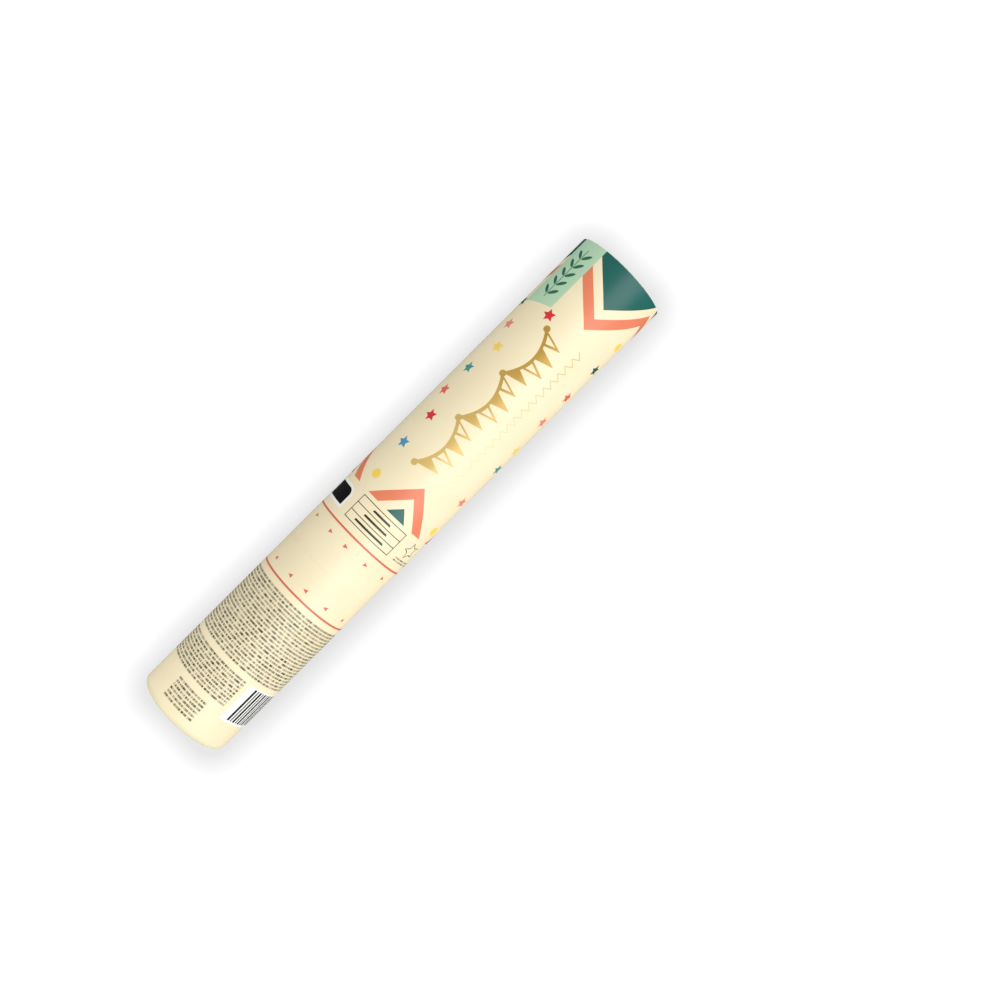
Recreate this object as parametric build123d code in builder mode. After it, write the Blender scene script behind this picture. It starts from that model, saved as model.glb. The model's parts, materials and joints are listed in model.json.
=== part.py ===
"""Twist-action confetti popper, lying on its side: tube axis along X, muzzle towards +X, floor at Z = 0.

The long barrel holds the confetti and, in its breech, a moulded carrier with a small gas cartridge.
The short base tube turns on the carrier. A cam sleeve inside it drives a striker and needle forward
into the cartridge's seal, and the gas then pushes the wad, the confetti and the muzzle cap out.

Stations are distances from the closed base end along the tube's axis, in millimetres.
"""

import os
from math import asin, cos, pi, radians, sin

from build123d import *

os.makedirs("parts", exist_ok=True)

# Tubes and printed wrap
total_length = 300.0
base_length = 101.0
tube_diameter = 50.0
tube_wall = 2.0
wrap_thickness = 0.25
seam_gap = 0.3

# Clearances: glued joints, pressed joints of one body, and pieces that move past each other
glue_gap = 0.05
fit_gap = 0.05
run_gap = 0.3

# Base plug
plug_flange = 3.2
plug_edge_radius = 3.0
plug_skirt_length = 12.0
plug_skirt_wall = 2.4
plug_recess_diameter = 36.0
plug_recess_depth = 0.6
spigot_diameter = 9.0
spigot_height = 3.5
key_count = 3
key_width = 4.0
key_height = 3.0

# Cam sleeve and guide tube
twist_angle = 90.0
striker_travel = 7.0
guide_bore_diameter = 21.6
guide_wall = 2.0
cam_wall = 3.0
cam_bridge = 3.0
foot_thickness = 3.0

# Striker, cross pin, needle, ring and spring
striker_length = 12.0
pin_diameter = 4.0
pin_chamfer = 0.3
pin_offset = 3.6
needle_diameter = 2.4
needle_seat_wall = 1.8
needle_spare = 2.0
needle_point = 3.0
needle_gap = 1.5
ring_section = 2.0
ring_gap = 0.2
ring_land = 2.0
spring_mean_diameter = 14.0
spring_wire = 1.3
spring_length = 9.0
spring_turns = 3
washer_thickness = 1.0
washer_diameter = 18.0

# Gas cartridge, the common 8 gram size
cartridge_diameter = 18.6
cartridge_length = 65.5
cartridge_wall = 1.6
neck_diameter = 8.9
neck_length = 7.5
neck_bore = 4.4
shoulder_length = 9.0
seal_thickness = 0.6
seal_diameter = 7.4

# Carrier
neck_standout = 1.2
seat_thickness = 4.0
sleeve_wall = 2.5
flange_thickness = 4.0
cup_wall = 1.6
chamber_length = 18.0
vent_count = 6
vent_diameter = 3.0
rib_count = 4
rib_thickness = 1.6
neck_ring_section = 2.0

# Cartridge clip
clip_thickness = 2.5
clip_boss_diameter = 8.0
clip_boss_height = 0.8
clip_vent_diameter = 6.0

# Bearing of the base on the carrier
collar_length = 12.5
collar_wall = 4.4
thrust_washer = 0.5
retainer_thickness = 2.0
retainer_depth = 2.2
retainer_opening = 6.0
groove_depth = 1.0

# Wad and muzzle cap
wad_thickness = 4.0
cap_recess = 2.8
cap_disc = 1.2
cap_skirt_length = 10.0
cap_skirt_wall = 1.2

# Confetti: sheaves of tissue stars, as many to a layer as fit side by side
star_points = 5
star_diameter = 17.0
star_waist_ratio = 0.52
star_tip_radius = 0.9
star_thickness = 3.0
layer_gap = 0.6
layer_turn_angle = 37.0
band_names = ["rear", "mid_rear", "mid_front", "front"]
warm_colours = ["red", "yellow", "blue", "peach"]
cool_colours = ["orange", "green", "mint", "white"]

# Radii worked out from the sizes above
tube_radius = tube_diameter / 2
bore_radius = tube_radius - tube_wall
wrap_radius = tube_radius + glue_gap + wrap_thickness
glued_radius = bore_radius - glue_gap
sliding_radius = bore_radius - run_gap
skirt_inner = glued_radius - plug_skirt_wall
guide_inner = guide_bore_diameter / 2
guide_outer = guide_inner + guide_wall
cam_inner = guide_outer + run_gap
cam_outer = cam_inner + cam_wall
foot_radius = skirt_inner - fit_gap
key_inner = cam_outer + fit_gap
key_depth = glued_radius - cam_outer
striker_radius = guide_inner - run_gap
pin_radius = pin_diameter / 2
slot_width = pin_diameter + 2 * run_gap
needle_radius = needle_diameter / 2
cartridge_radius = cartridge_diameter / 2
neck_radius = neck_diameter / 2
sleeve_outer = glued_radius - collar_wall - run_gap
sleeve_inner = sleeve_outer - sleeve_wall
groove_radius = sleeve_outer - groove_depth
cup_inner = glued_radius - cup_wall
star_radius = star_diameter / 2
star_circle = sliding_radius - star_radius
stars_per_layer = int(pi / asin((star_radius + run_gap) / star_circle))

# Stations worked out from the sizes above, from the base end to the muzzle
seam_low = base_length - seam_gap / 2
seam_high = base_length + seam_gap / 2
washer_station = plug_flange
spring_station = washer_station + washer_thickness + glue_gap
striker_station = spring_station + spring_length + glue_gap
pin_station = striker_station + pin_offset
needle_seat = pin_station + pin_radius + needle_seat_wall
striker_end = striker_station + striker_length
needle_tip = striker_end + striker_travel + needle_spare
seal_station = needle_tip + needle_gap
neck_station = seal_station + seal_thickness
cartridge_end = neck_station + cartridge_length
guide_station = spring_station + spring_wire
slot_end = pin_station + striker_travel + slot_width / 2
cam_end = slot_end + cam_bridge
seat_station = neck_station + neck_standout
seat_end = seat_station + seat_thickness
clip_station = cartridge_end + fit_gap
clip_end = clip_station + clip_boss_height + clip_thickness
collar_end = seam_low - run_gap
collar_station = collar_end - collar_length
retainer_end = collar_station - run_gap
retainer_station = retainer_end - retainer_thickness
flange_station = collar_end + thrust_washer + 2 * fit_gap + seam_gap
flange_end = flange_station + flange_thickness
sleeve_end = max(clip_end, flange_end) + 2 * fit_gap
cup_end = sleeve_end + chamber_length
wad_station = cup_end + run_gap
wad_end = wad_station + wad_thickness
cap_end = total_length - cap_recess
cap_station = cap_end - cap_skirt_length
layer_pitch = star_thickness + layer_gap
layer_count = int((cap_station - wad_end - layer_gap) / layer_pitch)

# Lines and planes that everything is drawn on
base_end = Vector(-total_length / 2, 0, wrap_radius)
tube_axis = Axis(base_end, (1, 0, 0))
profile = Plane(origin=base_end, x_dir=(1, 0, 0), z_dir=(0, -1, 0))


def station(distance, turn=0.0):
    """Plane across the tube at a distance from the base end, its x direction turned from +Y."""
    angle = radians(turn)
    across = (0, cos(angle), sin(angle))
    return Plane(origin=base_end + Vector(distance, 0, 0), x_dir=across, z_dir=(1, 0, 0))


def outline(*points):
    """Closed half-section through (station, radius) points, to be turned about the tube's axis."""
    with BuildSketch(profile) as half:
        with BuildLine():
            Polyline(*points, close=True)
        make_face()
    return half.sketch


def bush(label, start, end, inner, outer):
    """A plain ring about the tube's axis, written out under its label."""
    with BuildPart() as ring:
        with BuildSketch(station(start)):
            Circle(outer)
            Circle(inner, mode=Mode.SUBTRACT)
        extrude(amount=end - start)
    finish(ring, label)


def finish(builder, label):
    """Label a finished piece and write it to its own file."""
    builder.part.label = label
    export_step(builder.part, f"parts/{label}.step")


# Cardboard tubes and the printed paper round them
bush("base_tube", plug_flange, seam_low, bore_radius, tube_radius)
bush("base_wrap", plug_flange, seam_low, tube_radius + glue_gap, wrap_radius)
bush("barrel_tube", seam_high, total_length, bore_radius, tube_radius)
bush("barrel_wrap", seam_high, total_length, tube_radius + glue_gap, wrap_radius)

# Base plug: rounded end disc, skirt glued in the base tube, spring spigot and drive keys
with BuildPart() as base_plug:
    with BuildSketch(station(0)):
        Circle(wrap_radius)
    extrude(amount=plug_flange)
    outer_edge = base_plug.edges().filter_by(GeomType.CIRCLE).group_by(Axis.X)[0]
    fillet(outer_edge, min(plug_edge_radius, plug_flange - glue_gap))
    with BuildSketch(station(plug_flange)):
        Circle(glued_radius)
        Circle(skirt_inner, mode=Mode.SUBTRACT)
    extrude(amount=plug_skirt_length)
    with BuildSketch(station(plug_flange)):
        Circle(spigot_diameter / 2)
    extrude(amount=spigot_height)
    with BuildSketch(station(plug_flange)):
        with PolarLocations(key_inner, key_count):
            Rectangle(key_depth, key_width, align=(Align.MIN, Align.CENTER))
        Circle(glued_radius, mode=Mode.INTERSECT)
    extrude(amount=key_height)
    with BuildSketch(station(0)):
        Circle(plug_recess_diameter / 2)
    extrude(amount=plug_recess_depth, mode=Mode.SUBTRACT)
finish(base_plug, "base_plug")

# Cam slot, drawn about Z: a quarter-turn helix that lifts the pin by the striker's travel
slot_radius = (cam_inner + cam_outer) / 2
slot_reach = 2 * cam_wall
with BuildPart() as cam_slot:
    with BuildLine() as slot_line:
        Helix(striker_travel * 360 / twist_angle, striker_travel, slot_radius)
    with BuildSketch(Plane(slot_line.line @ 0, x_dir=(1, 0, 0), z_dir=slot_line.line % 0)):
        Rectangle(slot_reach, slot_width)
    sweep(is_frenet=True)
    for turn, lift in [(0.0, 0.0), (twist_angle, striker_travel)]:
        outward = (cos(radians(turn)), sin(radians(turn)), 0)
        slot_tip = Vector(*outward) * (slot_radius - slot_reach / 2) + Vector(0, 0, lift)
        with BuildSketch(Plane(origin=slot_tip, z_dir=outward)):
            Circle(slot_width / 2)
        extrude(amount=slot_reach)

# Cam sleeve: keyed foot on the plug's floor, two cam slots in its wall
with BuildPart() as cam_sleeve:
    with BuildSketch(station(plug_flange)):
        Circle(cam_outer)
        Circle(cam_inner, mode=Mode.SUBTRACT)
    extrude(amount=cam_end - plug_flange)
    with BuildSketch(station(plug_flange)):
        Circle(foot_radius)
        Circle(cam_inner, mode=Mode.SUBTRACT)
        with PolarLocations(cam_outer, key_count):
            Rectangle(key_depth, key_width + 2 * fit_gap, align=(Align.MIN, Align.CENTER), mode=Mode.SUBTRACT)
    extrude(amount=foot_thickness)
    for half_turn in (0, 180):
        add(station(pin_station, half_turn).location * cam_slot.part, mode=Mode.SUBTRACT)
finish(cam_sleeve, "cam_sleeve")

# Spring washer on the plug's floor
bush("spring_washer", washer_station, washer_station + washer_thickness,
     spigot_diameter / 2 + run_gap, washer_diameter / 2)

# Firing spring, compressed between the washer and the striker
coil_radius = spring_mean_diameter / 2
coil_pitch = (spring_length - spring_wire) / spring_turns
coil_start = base_end + Vector(spring_station + spring_wire / 2, 0, 0)
with BuildPart() as firing_spring:
    with BuildLine() as coil:
        Helix(coil_pitch, coil_pitch * spring_turns, coil_radius, center=coil_start, direction=(1, 0, 0))
    with BuildSketch(Plane(coil.line @ 0, z_dir=coil.line % 0)):
        Circle(spring_wire / 2)
    sweep(is_frenet=True)
finish(firing_spring, "firing_spring")
print("firing_spring gap between turns", round(coil_pitch - spring_wire, 2), "mm")

# Striker: piston with a cross hole for the pin, a ring groove and a socket for the needle
ring_centre = guide_inner - ring_gap - ring_section / 2
ring_station = striker_end - ring_land - ring_section / 2
with BuildPart() as striker:
    with BuildSketch(station(striker_station)):
        Circle(striker_radius)
    extrude(amount=striker_length)
    with BuildSketch(station(ring_station - ring_section / 2 - fit_gap)):
        Circle(striker_radius)
        Circle(ring_centre - ring_section / 2 - fit_gap, mode=Mode.SUBTRACT)
    extrude(amount=ring_section + 2 * fit_gap, mode=Mode.SUBTRACT)
    with BuildSketch(station(needle_seat)):
        Circle(needle_radius + fit_gap)
    extrude(amount=striker_end - needle_seat, mode=Mode.SUBTRACT)
    with BuildSketch(Plane(base_end + Vector(pin_station, 0, 0), x_dir=(1, 0, 0), z_dir=(0, 1, 0))):
        Circle(pin_radius + fit_gap)
    extrude(amount=striker_radius, both=True, mode=Mode.SUBTRACT)
finish(striker, "striker")

# Sealing ring in the striker's groove
with BuildPart() as striker_ring:
    with BuildSketch(profile):
        with Locations((ring_station, ring_centre)):
            Circle(ring_section / 2)
    revolve(axis=tube_axis)
finish(striker_ring, "striker_ring")

# Needle with a ground point
needle_outline = outline(
    (needle_seat, 0),
    (needle_seat, needle_radius),
    (needle_tip - needle_point, needle_radius),
    (needle_tip, 0),
)
with BuildPart() as needle:
    revolve(needle_outline, axis=tube_axis)
finish(needle, "needle")

# Cross pin through the striker, the guide slots and the cam slots
with BuildPart() as cross_pin:
    with BuildSketch(Plane(base_end + Vector(pin_station, 0, 0), x_dir=(1, 0, 0), z_dir=(0, 1, 0))):
        Circle(pin_radius)
    extrude(amount=cam_outer, both=True)
    chamfer(cross_pin.edges().filter_by(GeomType.CIRCLE), pin_chamfer)
finish(cross_pin, "cross_pin")

# Carrier: guide tube, vented neck seat, cartridge sleeve, flange and pressure cup, one moulding
carrier_outline = outline(
    (guide_station, guide_inner),
    (seat_station, guide_inner),
    (seat_station, neck_radius + fit_gap),
    (seat_end, neck_radius + fit_gap),
    (seat_end, sleeve_inner),
    (sleeve_end, sleeve_inner),
    (sleeve_end, sleeve_outer),
    (flange_end, sleeve_outer),
    (flange_end, cup_inner),
    (cup_end, cup_inner),
    (cup_end, glued_radius),
    (flange_station, glued_radius),
    (flange_station, sleeve_outer),
    (retainer_end + fit_gap, sleeve_outer),
    (retainer_end + fit_gap, groove_radius),
    (retainer_station - fit_gap, groove_radius),
    (retainer_station - fit_gap, sleeve_outer),
    (seat_station, sleeve_outer),
    (seat_station, guide_outer),
    (guide_station, guide_outer),
)
with BuildPart() as carrier:
    revolve(carrier_outline, axis=tube_axis)
    with BuildSketch(station(seat_station)):
        with PolarLocations((neck_radius + guide_inner) / 2, vent_count, start_angle=180 / vent_count):
            Circle(vent_diameter / 2)
    extrude(amount=seat_thickness, mode=Mode.SUBTRACT)
    with BuildSketch(station(guide_station)):
        Rectangle(2 * guide_outer, slot_width)
    extrude(amount=slot_end - guide_station, mode=Mode.SUBTRACT)
    rib_inner = cartridge_radius + fit_gap
    rib_depth = sleeve_inner + sleeve_wall / 2 - rib_inner
    rib_start = neck_station + neck_length + shoulder_length
    with BuildSketch(station(rib_start)):
        with PolarLocations(rib_inner + rib_depth / 2, rib_count, start_angle=180 / rib_count):
            Rectangle(rib_depth, rib_thickness)
    extrude(amount=cartridge_end - cartridge_radius - rib_start)
finish(carrier, "carrier")

# Gas cartridge: hollow steel bulb with a drawn neck towards the base
shoulder_station = neck_station + neck_length
body_station = shoulder_station + shoulder_length
dome_station = cartridge_end - cartridge_radius


def bulb(neck, radius):
    """Half-section of a bulb: straight neck, S-shaped shoulder, straight body and round dome."""
    with BuildSketch(profile) as half:
        with BuildLine():
            Polyline((neck_station, 0), (neck_station, neck), (shoulder_station, neck))
            Spline((shoulder_station, neck), (body_station, radius), tangents=[(1, 0), (1, 0)])
            Line((body_station, radius), (dome_station, radius))
            RadiusArc((dome_station, radius), (dome_station + radius, 0), radius)
            Line((dome_station + radius, 0), (neck_station, 0))
        make_face()
    return half.sketch


bulb_outside = bulb(neck_radius, cartridge_radius)
bulb_inside = bulb(neck_bore / 2, cartridge_radius - cartridge_wall)
with BuildPart() as gas_cartridge:
    revolve(bulb_outside, axis=tube_axis)
    revolve(bulb_inside, axis=tube_axis, mode=Mode.SUBTRACT)
finish(gas_cartridge, "gas_cartridge")

# Seal disc over the cartridge's mouth
with BuildPart() as cartridge_seal:
    with BuildSketch(station(seal_station)):
        Circle(seal_diameter / 2)
    extrude(amount=seal_thickness)
finish(cartridge_seal, "cartridge_seal")

# Rubber ring round the neck, on the seat
with BuildPart() as neck_ring:
    with BuildSketch(profile):
        with Locations((seat_end + neck_ring_section / 2 + fit_gap,
                        neck_radius + neck_ring_section / 2 + fit_gap)):
            Circle(neck_ring_section / 2)
    revolve(axis=tube_axis)
finish(neck_ring, "neck_ring")

# Cartridge clip: vented disc pressed into the sleeve, its boss on the bulb's dome
with BuildPart() as cartridge_clip:
    with BuildSketch(station(clip_station)):
        Circle(clip_boss_diameter / 2)
    extrude(amount=clip_boss_height)
    with BuildSketch(station(clip_station + clip_boss_height)):
        Circle(sleeve_inner - fit_gap)
        with PolarLocations((clip_boss_diameter / 2 + sleeve_inner) / 2, vent_count):
            Circle(clip_vent_diameter / 2, mode=Mode.SUBTRACT)
    extrude(amount=clip_thickness)
finish(cartridge_clip, "cartridge_clip")

# Bearing of the base: collar glued in the base tube, washer under the flange, open ring in the groove
bush("base_collar", collar_station, collar_end, sleeve_outer + run_gap, glued_radius)
bush("thrust_washer", collar_end + fit_gap, collar_end + fit_gap + thrust_washer,
     sleeve_outer + run_gap, glued_radius - run_gap)
with BuildPart() as retaining_ring:
    with BuildSketch(station(retainer_station)):
        Circle(sleeve_outer + retainer_depth)
        Circle(groove_radius + fit_gap, mode=Mode.SUBTRACT)
        with Locations((0, sleeve_outer)):
            Rectangle(retainer_opening, 2 * (retainer_depth + groove_depth), mode=Mode.SUBTRACT)
    extrude(amount=retainer_thickness)
finish(retaining_ring, "retaining_ring")

# Wad between the pressure cup and the confetti
with BuildPart() as wad_disc:
    with BuildSketch(station(wad_station)):
        Circle(sliding_radius)
    extrude(amount=wad_thickness)
finish(wad_disc, "wad_disc")

# Muzzle cap: paperboard cup pushed in upside down, its disc a little inside the rim
with BuildPart() as muzzle_cap:
    with BuildSketch(station(cap_station)):
        Circle(sliding_radius)
        Circle(sliding_radius - cap_skirt_wall, mode=Mode.SUBTRACT)
    extrude(amount=cap_skirt_length)
    with BuildSketch(station(cap_end)):
        Circle(sliding_radius)
    extrude(amount=-cap_disc)
finish(muzzle_cap, "muzzle_cap")

# One sheaf of star confetti, drawn about Z: tips and waists in turn round a circle
star_corners = []
for corner in range(2 * star_points):
    reach = star_radius if corner % 2 == 0 else star_radius * star_waist_ratio
    star_corners.append(Vector(reach, 0).rotate(Axis.Z, corner * 180 / star_points))
with BuildPart() as star_sheaf:
    with BuildSketch() as star:
        with BuildLine():
            Polyline(*star_corners, close=True)
        make_face()
        fillet(star.vertices().sort_by_distance((0, 0))[-star_points:], star_tip_radius)
    extrude(amount=star_thickness)

# Confetti column: the stars of each layer take their band's colours in turn
column_station = (wad_end + cap_station - layer_count * layer_pitch + layer_gap) / 2
for band, band_name in enumerate(band_names):
    colours = warm_colours if band % 2 == 0 else cool_colours
    first_layer = band * layer_count // len(band_names)
    next_band = (band + 1) * layer_count // len(band_names)
    spots = []
    for layer in range(first_layer, next_band):
        for place in range(stars_per_layer):
            turn = layer * layer_turn_angle + place * 360 / stars_per_layer
            layer_plane = station(column_station + layer * layer_pitch, turn)
            spots.append(layer_plane * Location((star_circle, 0, 0), (0, 0, layer * layer_turn_angle)))
    for place, colour in enumerate(colours):
        with BuildPart() as stars:
            with Locations(*spots[place::len(colours)]):
                add(star_sheaf.part)
        finish(stars, f"{colour}_stars_{band_name}")

print("layers of confetti", layer_count, "with", stars_per_layer, "stars each")
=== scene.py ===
# %% [markdown]
# # A twist popper full of paper stars
#
# The popper is a card tube in two lengths, with printed paper glued round both. Turning the short
# base against the long barrel drives a needle into a small gas cartridge, and the gas throws the
# paper stars out of the muzzle. The hard parts come ready made from the CAD frame. This lesson adds
# what the eye meets first: rolled paper with its print, pressed board, tissue stars, and a finish
# for every piece of plastic, steel and rubber inside.

# %% Load the frame
import json

import bpy
import numpy as np
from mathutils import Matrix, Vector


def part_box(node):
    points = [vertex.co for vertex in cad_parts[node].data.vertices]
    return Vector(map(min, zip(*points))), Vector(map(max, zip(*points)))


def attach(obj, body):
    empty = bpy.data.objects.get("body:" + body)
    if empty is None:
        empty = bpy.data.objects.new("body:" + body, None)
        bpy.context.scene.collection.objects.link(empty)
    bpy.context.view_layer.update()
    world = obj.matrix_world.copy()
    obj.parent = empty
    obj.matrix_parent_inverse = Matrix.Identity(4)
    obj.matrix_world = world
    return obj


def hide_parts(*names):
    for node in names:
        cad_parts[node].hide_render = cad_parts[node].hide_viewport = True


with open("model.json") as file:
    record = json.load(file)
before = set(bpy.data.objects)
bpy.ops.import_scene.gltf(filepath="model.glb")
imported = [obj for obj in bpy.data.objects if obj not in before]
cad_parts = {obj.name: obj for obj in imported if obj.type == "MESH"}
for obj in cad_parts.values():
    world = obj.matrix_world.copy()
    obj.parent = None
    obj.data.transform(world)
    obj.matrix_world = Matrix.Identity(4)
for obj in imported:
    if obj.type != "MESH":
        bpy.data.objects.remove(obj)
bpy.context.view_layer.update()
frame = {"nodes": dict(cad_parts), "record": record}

# %% [markdown]
# ## Measures
#
# Everything lies on one axis, so a point is easiest to give as a station along the tube, a radius
# from the axis and an angle. The angle is zero on top of the tube and grows towards -Y. Measures are
# in millimetres, as a maker would write them, and turn into metres only when a mesh is made.

# %% Measures of the tube
MM = 0.001
tube_length = 300.0
wrap_radius = 25.3
paper_thickness = 0.25
flange_end = 3.2
seam_station = 101.0
turn_length = 2 * np.pi * wrap_radius


def on_tube(station, radius, angle):
    """World points in metres.

    x is the station less half the tube, y is minus radius times sine of the angle, and z is the
    axis height plus radius times cosine of the angle.
    """
    x = station - tube_length / 2
    y = -radius * np.sin(angle)
    z = wrap_radius + radius * np.cos(angle)
    return np.stack(np.broadcast_arrays(x, y, z), axis=-1) * MM


wrap_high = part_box("barrel_wrap")[1]
print("barrel paper in the frame: top at", round(wrap_high.z / MM, 2), "mm")
print("muzzle at", round(wrap_high.x / MM, 2), "mm")

# %% [markdown]
# ## Camera
#
# The popper is seen from straight above, turned so that its muzzle points to the upper right. A lens
# of about 44 mm from 60 cm away gives the slight barrel curve of the printed rings. The camera stands
# a little towards the muzzle and to one side of the tube, so the tube sits left of the middle.

# %% Camera
camera_place = np.array([32.1, -35.4, wrap_radius + 600.0])
camera_turn = np.radians(-45.0)
camera_data = bpy.data.cameras.new("camera")
camera_data.sensor_width = 36.0
camera_data.lens = 44.4
camera = bpy.data.objects.new("camera", camera_data)
camera.location = camera_place * MM
camera.rotation_euler = (0.0, 0.0, camera_turn)
bpy.context.scene.collection.objects.link(camera)
bpy.context.scene.camera = camera
bpy.context.scene.view_settings.view_transform = "Standard"
print("camera", round(camera.location.z, 3), "m above the floor")

# %% [markdown]
# ## Mesh helpers
#
# Each new piece is a grid of points worked out as whole arrays. One helper numbers the corners of the
# quads between neighbouring points, and another puts points and faces into a mesh.

# %% Mesh helpers


def grid_corners(rows, columns):
    """Row and column numbers of the four corners of every quad in a grid, going round each quad."""
    row, column = np.meshgrid(np.arange(rows - 1), np.arange(columns - 1), indexing="ij")
    corner_row = np.stack([row, row + 1, row + 1, row], axis=-1).reshape(-1, 4)
    corner_column = np.stack([column, column, column + 1, column + 1], axis=-1).reshape(-1, 4)
    return corner_row, corner_column


def put_in(name, points, faces, sharp=40.0):
    """A mesh object at the origin, smooth but for edges that turn by more than the sharp angle."""
    mesh = bpy.data.meshes.new(name)
    mesh.from_pydata(points.reshape(-1, 3).tolist(), [], faces)
    mesh.shade_smooth()
    mesh.set_sharp_from_angle(angle=np.radians(sharp))
    piece = bpy.data.objects.new(name, mesh)
    bpy.context.scene.collection.objects.link(piece)
    return piece


# %% [markdown]
# ## Finishes as sums
#
# A printed shape is a distance: how far a spot on the paper lies outside the shape, with the inside
# negative. Shader nodes can work such distances out, and a small class lets the lesson write them as
# sums. Each call adds one node and hands back its output.

# %% Node sums


def shade(red, green, blue):
    """Linear colour from the 0 to 255 numbers of a paint chart."""
    chart = np.array([red, green, blue]) / 255.0
    linear = np.where(chart <= 0.04045, chart / 12.92, ((chart + 0.055) / 1.055) ** 2.4)
    return (*linear.tolist(), 1.0)


class Finish:
    """A material whose nodes are written as sums."""

    def __init__(self, name):
        self.material = bpy.data.materials.new(name)
        self.material.use_nodes = True
        self.tree = self.material.node_tree
        self.surface = self.tree.nodes["Principled BSDF"]

    def node(self, kind, inputs, **settings):
        """A node with its settings, each input a plain value or another node's output."""
        made = self.tree.nodes.new(kind)
        for name, value in settings.items():
            setattr(made, name, value)
        for key, value in inputs.items():
            self.feed(made.inputs[key], value)
        return made

    def feed(self, socket, value):
        """Link an output to a socket, or set a plain value on it."""
        if isinstance(value, bpy.types.NodeSocket):
            self.tree.links.new(value, socket)
        else:
            socket.default_value = value

    def set(self, **values):
        """Values or outputs for the surface's own sockets, underscores standing for spaces."""
        for name, value in values.items():
            self.feed(self.surface.inputs[name.replace("_", " ")], value)

    def sum(self, operation, *values):
        """One step of arithmetic."""
        return self.node("ShaderNodeMath", dict(enumerate(values)), operation=operation).outputs[0]

    def steps(self, operation, first, second):
        """One step of arithmetic on two vectors, axis by axis."""
        return self.node("ShaderNodeVectorMath", {0: first, 1: second}, operation=operation).outputs[0]

    def place(self):
        """Where a spot is in the object's own frame."""
        return self.node("ShaderNodeTexCoord", {}).outputs["Object"]

    def noise(self, spot, scale, detail=2.0):
        """Smooth random number from 0 to 1."""
        inputs = {"Vector": spot, "Scale": scale, "Detail": detail}
        return self.node("ShaderNodeTexNoise", inputs).outputs[0]

    def span(self, value, low, high, start=0.0, end=1.0, kind="SMOOTHSTEP"):
        """The value's way from low to high, stretched from start to end and held there."""
        inputs = {"Value": value, "From Min": low, "From Max": high, "To Min": start, "To Max": end}
        return self.node("ShaderNodeMapRange", inputs, interpolation_type=kind).outputs[0]

    def strip(self, value, low, high):
        """Distance outside the span from low to high."""
        off = self.sum("ABSOLUTE", self.sum("SUBTRACT", value, (low + high) / 2))
        return self.sum("SUBTRACT", off, (high - low) / 2)

    def length(self, first, second):
        """Length of a step with two sides at right angles."""
        squares = self.sum("MULTIPLY", second, second)
        return self.sum("SQRT", self.sum("MULTIPLY_ADD", first, first, squares))

    def blend(self, share, under, over):
        """Colour that goes from under to over by a share from 0 to 1."""
        made = self.node("ShaderNodeMix", {}, data_type="RGBA")
        self.feed(made.inputs["Factor"], share)
        self.feed(made.inputs[6], under)
        self.feed(made.inputs[7], over)
        return made.outputs[2]

    def relief(self, height, strength, distance):
        """Surface direction that follows a height."""
        inputs = {"Height": height, "Strength": strength, "Distance": distance}
        return self.node("ShaderNodeBump", inputs).outputs[0]


print("helpers ready")

# %% [markdown]
# ## Floor and light
#
# The floor is a white table that glows by itself. Its own colour is nearly black, so the lamps add
# little to it. Its shade is painted into that glow twice: by ambient occlusion, the share of the sky
# that nearby things hide from a spot, and by a painted shadow, a soft rounded rectangle round the place
# where the tube lies, so the shade also shows past the tube's ends. Table and sky fill the tube's sides
# with light, but little of either shows in its gloss, as if dark cloth hung all round, so dark inks
# stay dark. A large soft box hangs over the near side, and the far side falls off to a warm shade. Two
# weak fills lift the near rim and the far side of the base.

# %% Floor, sky and lamps
white = (1.0, 1.0, 1.0, 1.0)
floor_half = 4.0
floor_steps = 9
shade_reach = 0.026
painted_shadow_along = (-154.0, 148.5)
painted_shadow_across = (-14.45, 15.95)
painted_shadow_start = 12.0
painted_shadow_end = 25.6
table_gloss = 0.07

reach = np.linspace(-floor_half, floor_half, floor_steps)
level = np.zeros((floor_steps, floor_steps))
floor_points = np.stack([*np.meshgrid(reach, reach, indexing="ij"), level], axis=-1)
floor_row, floor_column = grid_corners(floor_steps, floor_steps)
floor = put_in("floor", floor_points, (floor_row * floor_steps + floor_column).tolist())
table = Finish("glowing_table_painted_shade")
# Painted shade: the glow is dimmed where ambient occlusion finds nearby things, and dimmed again in a
# painted shadow, a soft rounded rectangle round where the tube lies.
shelter = table.node("ShaderNodeAmbientOcclusion", {"Distance": shade_reach}, samples=6)
painted_contact_shade = table.span(shelter.outputs["AO"], 0.4, 0.95, 0.69, 1.05, "LINEAR")
spot = table.node("ShaderNodeVectorMath", {0: table.place(), "Scale": 1 / MM}, operation="SCALE")
spot = table.node("ShaderNodeSeparateXYZ", {0: spot.outputs[0]}).outputs
past_end = table.sum("MAXIMUM", table.strip(spot["X"], *painted_shadow_along), 0.0)
past_side = table.sum("MAXIMUM", table.strip(spot["Y"], *painted_shadow_across), 0.0)
away = table.length(past_end, past_side)
painted_shadow_halo = table.span(away, painted_shadow_start, painted_shadow_end, 0.785, 1.03, "LINEAR")
glow_with_painted_shade = table.sum("MINIMUM", painted_contact_shade, painted_shadow_halo)
path = table.node("ShaderNodeLightPath", {})
lit = table.sum("ADD", path.outputs["Is Diffuse Ray"], path.outputs["Is Camera Ray"])
lit = table.sum("MULTIPLY_ADD", lit, 1.0 - table_gloss, table_gloss)
table.set(Base_Color=(0.02, 0.02, 0.02, 1.0), Roughness=1.0, Specular_IOR_Level=0.0)
table.set(Emission_Color=white, Emission_Strength=table.sum("MULTIPLY", glow_with_painted_shade, lit))
floor.data.materials.append(table.material)

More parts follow.
